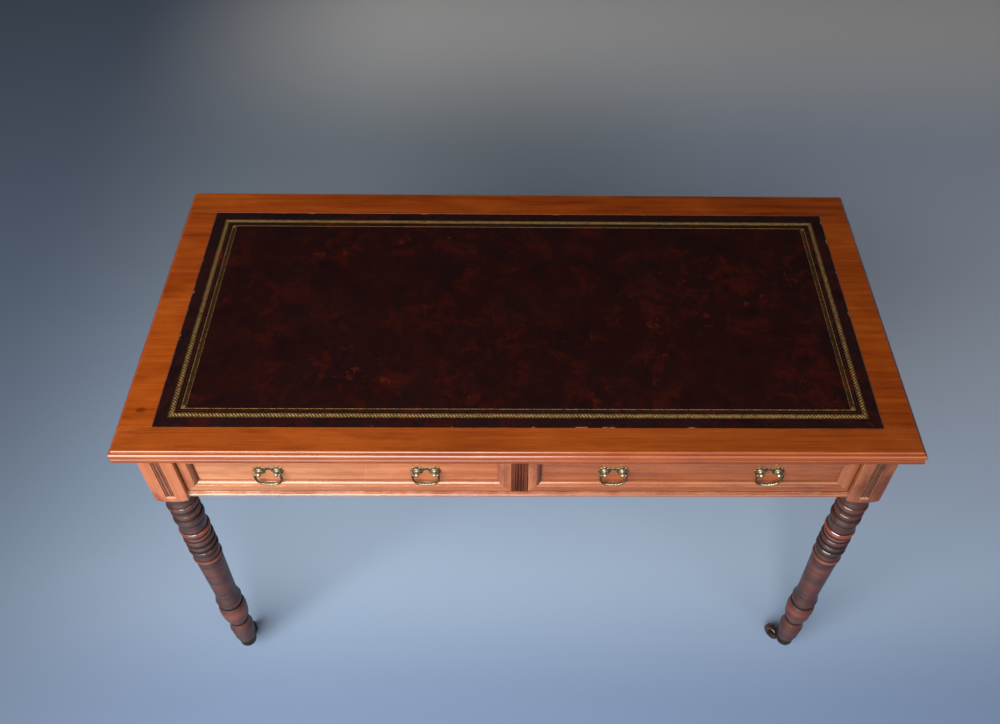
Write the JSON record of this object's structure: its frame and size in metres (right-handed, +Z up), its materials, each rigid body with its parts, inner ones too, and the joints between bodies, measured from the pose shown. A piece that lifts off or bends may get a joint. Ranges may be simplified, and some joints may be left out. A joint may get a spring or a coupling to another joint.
{
  "type": "writing table",
  "caption": "Writing table with an inset leather top, frieze drawers with brass bail handles, and ring-turned legs on casters.",
  "frame": {"origin": "on the floor, under the middle of the top", "axes": "+X to the right along the width, the drawer front faces -Y, +Z up"},
  "size_m": [1.22, 0.6, 0.765],
  "materials": {
    "mahogany": "old french polish, worn",
    "dark_mahogany": "dark polished turned wood",
    "deal": "bare aged softwood",
    "hide": "dark skiver with a gilt tooled border",
    "brass": "aged cast brass",
    "glaze": "brown glazed stoneware",
    "screw_steel": "dull screw steel"
  },
  "bodies": {
    "table": {"top_front_board": "mahogany", "top_centre_board": "mahogany", "top_back_board": "mahogany", "leather_panel": "hide", "leg_front_left": "dark_mahogany", "leg_front_right": "dark_mahogany", "leg_back_left": "dark_mahogany", "leg_back_right": "dark_mahogany", "front_bottom_rail": "mahogany", "front_top_rail": "mahogany", "centre_stile": "dark_mahogany", "left_rail": "mahogany", "right_rail": "mahogany", "back_rail": "mahogany", "left_runner": "deal", "right_runner": "deal", "centre_runner": "deal", "kickers": "deal", "drawer_stops": "deal", "glue_blocks": "deal", "top_screws": "screw_steel", "caster_cup_front_left": "brass", "caster_cup_front_right": "brass", "caster_cup_back_left": "brass", "caster_cup_back_right": "brass"},
    "left_drawer": {"left_drawer_front": "mahogany", "left_drawer_frame": "mahogany", "left_drawer_outer_side": "deal", "left_drawer_inner_side": "deal", "left_drawer_back": "deal", "left_drawer_bottom": "deal", "left_handle_nuts": "brass", "handle_plate_1": "brass", "handle_plate_2": "brass"},
    "right_drawer": {"right_drawer_front": "mahogany", "right_drawer_frame": "mahogany", "right_drawer_outer_side": "deal", "right_drawer_inner_side": "deal", "right_drawer_back": "deal", "right_drawer_bottom": "deal", "right_handle_nuts": "brass", "handle_plate_3": "brass", "handle_plate_4": "brass"},
    "bail_1": {"bail_1": "brass"},
    "bail_2": {"bail_2": "brass"},
    "bail_3": {"bail_3": "brass"},
    "bail_4": {"bail_4": "brass"},
    "caster_front_left": {"caster_horn_front_left": "brass", "caster_axle_front_left": "brass"},
    "wheel_front_left": {"caster_wheel_front_left": "glaze"},
    "caster_front_right": {"caster_horn_front_right": "brass", "caster_axle_front_right": "brass"},
    "wheel_front_right": {"caster_wheel_front_right": "glaze"},
    "caster_back_left": {"caster_horn_back_left": "brass", "caster_axle_back_left": "brass"},
    "wheel_back_left": {"caster_wheel_back_left": "glaze"},
    "caster_back_right": {"caster_horn_back_right": "brass", "caster_axle_back_right": "brass"},
    "wheel_back_right": {"caster_wheel_back_right": "glaze"}
  },
  "joints": [
    {"name": "left_drawer_slide", "type": "slide", "parent": "table", "child": "left_drawer", "axis": [0, -1, 0], "range_m": [0, 0.36]},
    {"name": "right_drawer_slide", "type": "slide", "parent": "table", "child": "right_drawer", "axis": [0, -1, 0], "range_m": [0, 0.36]},
    {"name": "bail_1_swing", "type": "hinge", "parent": "left_drawer", "child": "bail_1", "pos_m": [-0.395, -0.272, 0.671], "axis": [-1, 0, 0], "range_deg": [0, 100]},
    {"name": "bail_2_swing", "type": "hinge", "parent": "left_drawer", "child": "bail_2", "pos_m": [-0.148, -0.272, 0.671], "axis": [-1, 0, 0], "range_deg": [0, 100]},
    {"name": "bail_3_swing", "type": "hinge", "parent": "right_drawer", "child": "bail_3", "pos_m": [0.148, -0.272, 0.671], "axis": [-1, 0, 0], "range_deg": [0, 100]},
    {"name": "bail_4_swing", "type": "hinge", "parent": "right_drawer", "child": "bail_4", "pos_m": [0.395, -0.272, 0.671], "axis": [-1, 0, 0], "range_deg": [0, 100]},
    {"name": "swivel_front_left", "type": "hinge", "parent": "table", "child": "caster_front_left", "pos_m": [-0.5575, -0.2535, 0.033], "axis": [0, 0, 1], "continuous": true},
    {"name": "roll_front_left", "type": "hinge", "parent": "caster_front_left", "child": "wheel_front_left", "pos_m": [-0.55959, -0.22357, 0.017], "axis": [0.9976, 0.0698, 0], "continuous": true},
    {"name": "swivel_front_right", "type": "hinge", "parent": "table", "child": "caster_front_right", "pos_m": [0.5575, -0.2535, 0.033], "axis": [0, 0, 1], "continuous": true},
    {"name": "roll_front_right", "type": "hinge", "parent": "caster_front_right", "child": "wheel_front_right", "pos_m": [0.53987, -0.22923, 0.017], "axis": [0.809, 0.5878, 0], "continuous": true},
    {"name": "swivel_back_left", "type": "hinge", "parent": "table", "child": "caster_back_left", "pos_m": [-0.5575, 0.2535, 0.033], "axis": [0, 0, 1], "continuous": true},
    {"name": "roll_back_left", "type": "hinge", "parent": "caster_back_left", "child": "wheel_back_left", "pos_m": [-0.54029, 0.27807, 0.017], "axis": [0.8192, -0.5736, 0], "continuous": true},
    {"name": "swivel_back_right", "type": "hinge", "parent": "table", "child": "caster_back_right", "pos_m": [0.5575, 0.2535, 0.033], "axis": [0, 0, 1], "continuous": true},
    {"name": "roll_back_right", "type": "hinge", "parent": "caster_back_right", "child": "wheel_back_right", "pos_m": [0.54724, 0.28169, 0.017], "axis": [0.9397, 0.342, 0], "continuous": true}
  ]
}
